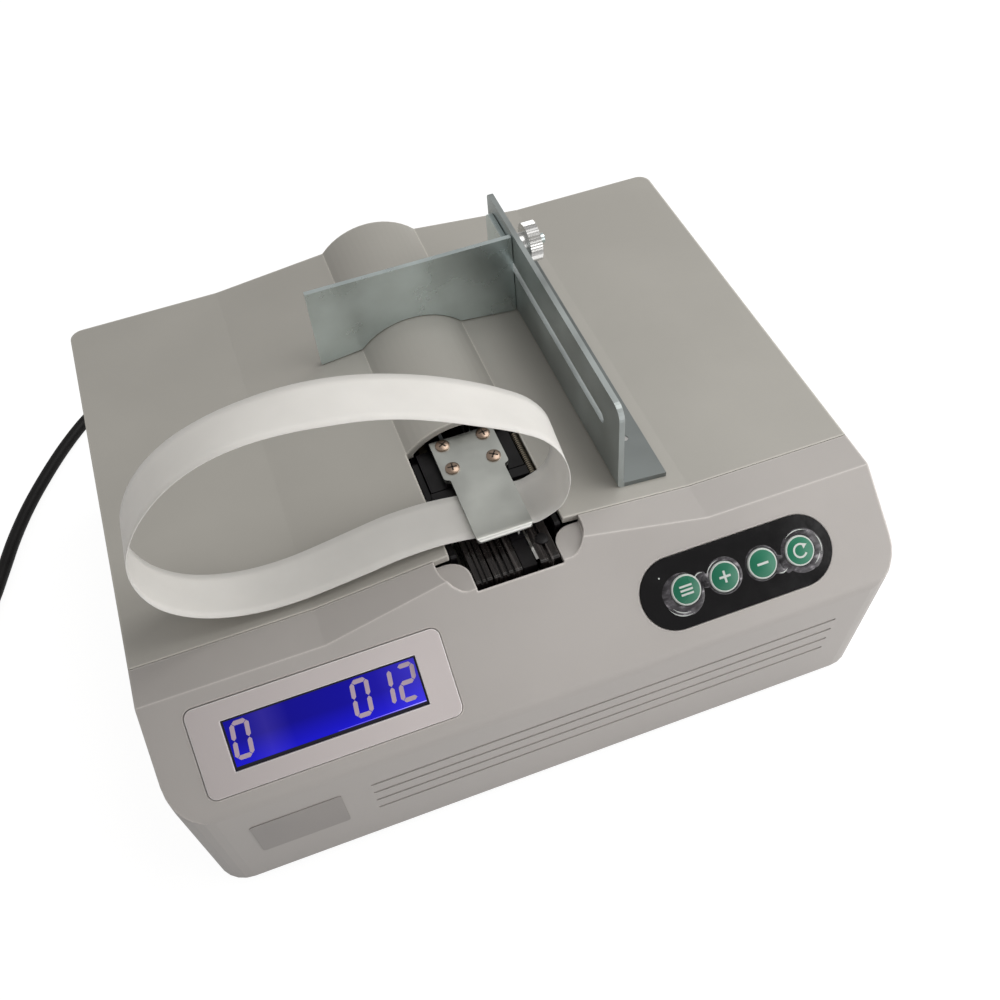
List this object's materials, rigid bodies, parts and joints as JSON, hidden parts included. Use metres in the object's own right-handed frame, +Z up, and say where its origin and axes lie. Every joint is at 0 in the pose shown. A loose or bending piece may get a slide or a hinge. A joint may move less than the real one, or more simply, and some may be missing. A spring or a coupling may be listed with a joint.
{
  "type": "banknote strapping machine",
  "caption": "Desktop machine that straps bundles of notes with paper tape: sloped panel with display and keys, hinged lid with note guides, strapping head with a tape loop, roll feed and cord.",
  "frame": {"origin": "on the table, under the middle of the housing's footprint, measured without the free cord", "axes": "X to the right, Y to the back, Z up; the panel faces -Y"},
  "size_m": [0.435, 0.2887, 0.1759],
  "materials": {
    "housing_plastic": "fine texture, warm grey",
    "bezel_plastic": "pale, satin",
    "display": "clear, over a blue display",
    "black_film": "glossy",
    "button_green": "satin",
    "zinc_sheet": "zinc plated, satin",
    "bright_steel": "polished",
    "screws": "zinc plated",
    "copper_screws": "copper plated",
    "black_steel": "blackened, semi-matt",
    "motor_can": "satin",
    "bronze": "satin",
    "roller_rubber": "matt",
    "nylon": "natural, satin",
    "hub_plastic": "matt",
    "paper": "uncoated",
    "circuit": "satin",
    "core_steel": "varnished",
    "black_plastic": "satin",
    "rocker_red": "satin",
    "cord_rubber": "semi-matt"
  },
  "bodies": {
    "housing": {"case_shell": "housing_plastic", "base_plate": "zinc_sheet", "feet": "roller_rubber", "case_screws": "screws", "hinge_pins": "bright_steel", "display_bezel": "bezel_plastic", "display_glass": "display", "display_module": "circuit", "key_plate": "black_film", "key_board": "circuit", "head_plate_left": "black_steel", "head_plate_right": "black_steel", "cross_bars": "bright_steel", "slide_rods": "bright_steel", "solenoid": "motor_can", "solenoid_shelf": "zinc_sheet", "press_guide": "nylon", "tape_nozzle": "bright_steel", "tape_chute": "nylon", "cam_bushes": "bronze", "cam_motor": "motor_can", "motor_brackets": "zinc_sheet", "feed_frame": "zinc_sheet", "feed_motor": "motor_can", "roll_bracket": "zinc_sheet", "tape_run": "paper", "band_loop": "paper", "control_board": "circuit", "transformer": "core_steel", "power_switch": "black_plastic", "strain_relief": "black_plastic", "cord": "cord_rubber", "cord_coil": "cord_rubber", "cord_tail": "cord_rubber", "plug": "black_plastic"},
    "lid": {"lid": "housing_plastic", "guide_rail": "zinc_sheet", "guide_screws": "screws"},
    "stop": {"stop_plate": "zinc_sheet"},
    "nut": {"thumb_nut": "bright_steel"},
    "anvil": {"anvil_plate": "bright_steel", "anvil_carriage": "black_steel", "anvil_screws": "copper_screws"},
    "cams": {"camshaft": "bright_steel"},
    "left_press": {"left_clamp": "black_steel"},
    "heater": {"heater_block": "black_steel"},
    "right_press": {"right_clamp": "black_steel", "cutter_blade": "bright_steel"},
    "feed": {"feed_roller": "roller_rubber", "feed_gear": "nylon"},
    "pinion": {"motor_pinion": "bronze"},
    "arm": {"pinch_arm": "zinc_sheet"},
    "pinch": {"pinch_roller": "nylon"},
    "roll": {"roll_hub": "hub_plastic", "paper_roll": "paper"},
    "function_key": {"function_button": "button_green"},
    "plus_key": {"plus_button": "button_green"},
    "minus_key": {"minus_button": "button_green"},
    "reset_key": {"reset_button": "button_green"},
    "rocker": {"switch_rocker": "rocker_red"}
  },
  "joints": [
    {"name": "lid_hinge", "type": "hinge", "parent": "housing", "child": "lid", "pos_m": [0, 0.1144, 0.08515], "axis": [-1, 0, 0], "range_deg": [0, 70], "deforming": ["band_loop"]},
    {"name": "stop_slide", "type": "slide", "parent": "lid", "child": "stop", "axis": [0, 1, 0], "range_m": [-0.075, 0.004]},
    {"name": "nut_turn", "type": "hinge", "parent": "stop", "child": "nut", "pos_m": [0.05, 0.05802, 0.121], "axis": [1, 0, 0], "range_deg": [0, 540]},
    {"name": "anvil_slide", "type": "slide", "parent": "housing", "child": "anvil", "axis": [0, 1, 0], "range_m": [0, 0.023], "stiffness_N_per_m": 60, "springref_m": -0.002},
    {"name": "cam_turn", "type": "hinge", "parent": "housing", "child": "cams", "pos_m": [0, -0.06818, 0.0443], "axis": [1, 0, 0], "range_deg": [0, 150]},
    {"name": "left_press_lift", "type": "slide", "parent": "housing", "child": "left_press", "axis": [0, 0, 1], "range_m": [0, 0.0036]},
    {"name": "heater_lift", "type": "slide", "parent": "housing", "child": "heater", "axis": [0, 0, 1], "range_m": [0, 0.0036]},
    {"name": "right_press_lift", "type": "slide", "parent": "housing", "child": "right_press", "axis": [0, 0, 1], "range_m": [0, 0.0036]},
    {"name": "feed_turn", "type": "hinge", "parent": "housing", "child": "feed", "pos_m": [-0.03, -0.05038, 0.0635], "axis": [0, 1, 0], "continuous": true},
    {"name": "pinion_turn", "type": "hinge", "parent": "housing", "child": "pinion", "pos_m": [-0.03, -0.03138, 0.04535], "axis": [0, 1, 0], "continuous": true},
    {"name": "arm_lift", "type": "hinge", "parent": "housing", "child": "arm", "pos_m": [-0.044, -0.05038, 0.084], "axis": [0, -1, 0], "range_deg": [0, 12], "stiffness_Nm_per_rad": 0.05, "springref_deg": -11.46},
    {"name": "pinch_turn", "type": "hinge", "parent": "arm", "child": "pinch", "pos_m": [-0.03, -0.05038, 0.0815], "axis": [0, 1, 0], "continuous": true},
    {"name": "roll_turn", "type": "hinge", "parent": "housing", "child": "roll", "pos_m": [-0.078, -0.05038, 0.0485], "axis": [0, 1, 0], "continuous": true},
    {"name": "function_key_press", "type": "slide", "parent": "housing", "child": "function_key", "axis": [0, 0.6361, -0.7716], "range_m": [0, 0.001], "stiffness_N_per_m": 900, "springref_m": -0.0008},
    {"name": "plus_key_press", "type": "slide", "parent": "housing", "child": "plus_key", "axis": [0, 0.6361, -0.7716], "range_m": [0, 0.001], "stiffness_N_per_m": 900, "springref_m": -0.0008},
    {"name": "minus_key_press", "type": "slide", "parent": "housing", "child": "minus_key", "axis": [0, 0.6361, -0.7716], "range_m": [0, 0.001], "stiffness_N_per_m": 900, "springref_m": -0.0008},
    {"name": "reset_key_press", "type": "slide", "parent": "housing", "child": "reset_key", "axis": [0, 0.6361, -0.7716], "range_m": [0, 0.001], "stiffness_N_per_m": 900, "springref_m": -0.0008},
    {"name": "rocker_tilt", "type": "hinge", "parent": "housing", "child": "rocker", "pos_m": [0.05, 0.1085, 0.036], "axis": [1, 0, 0], "range_deg": [-8, 8]}
  ],
  "couplings": [
    {"joint": "left_press_lift", "follows": "cam_turn", "m_per_rad": 0.0013751},
    {"joint": "heater_lift", "follows": "cam_turn", "m_per_rad": 0.0013751},
    {"joint": "right_press_lift", "follows": "cam_turn", "m_per_rad": 0.0013751},
    {"joint": "pinion_turn", "follows": "feed_turn", "ratio": -2},
    {"joint": "roll_turn", "follows": "feed_turn", "ratio": 0.27778},
    {"joint": "pinch_turn", "follows": "feed_turn", "ratio": -1.4286}
  ]
}
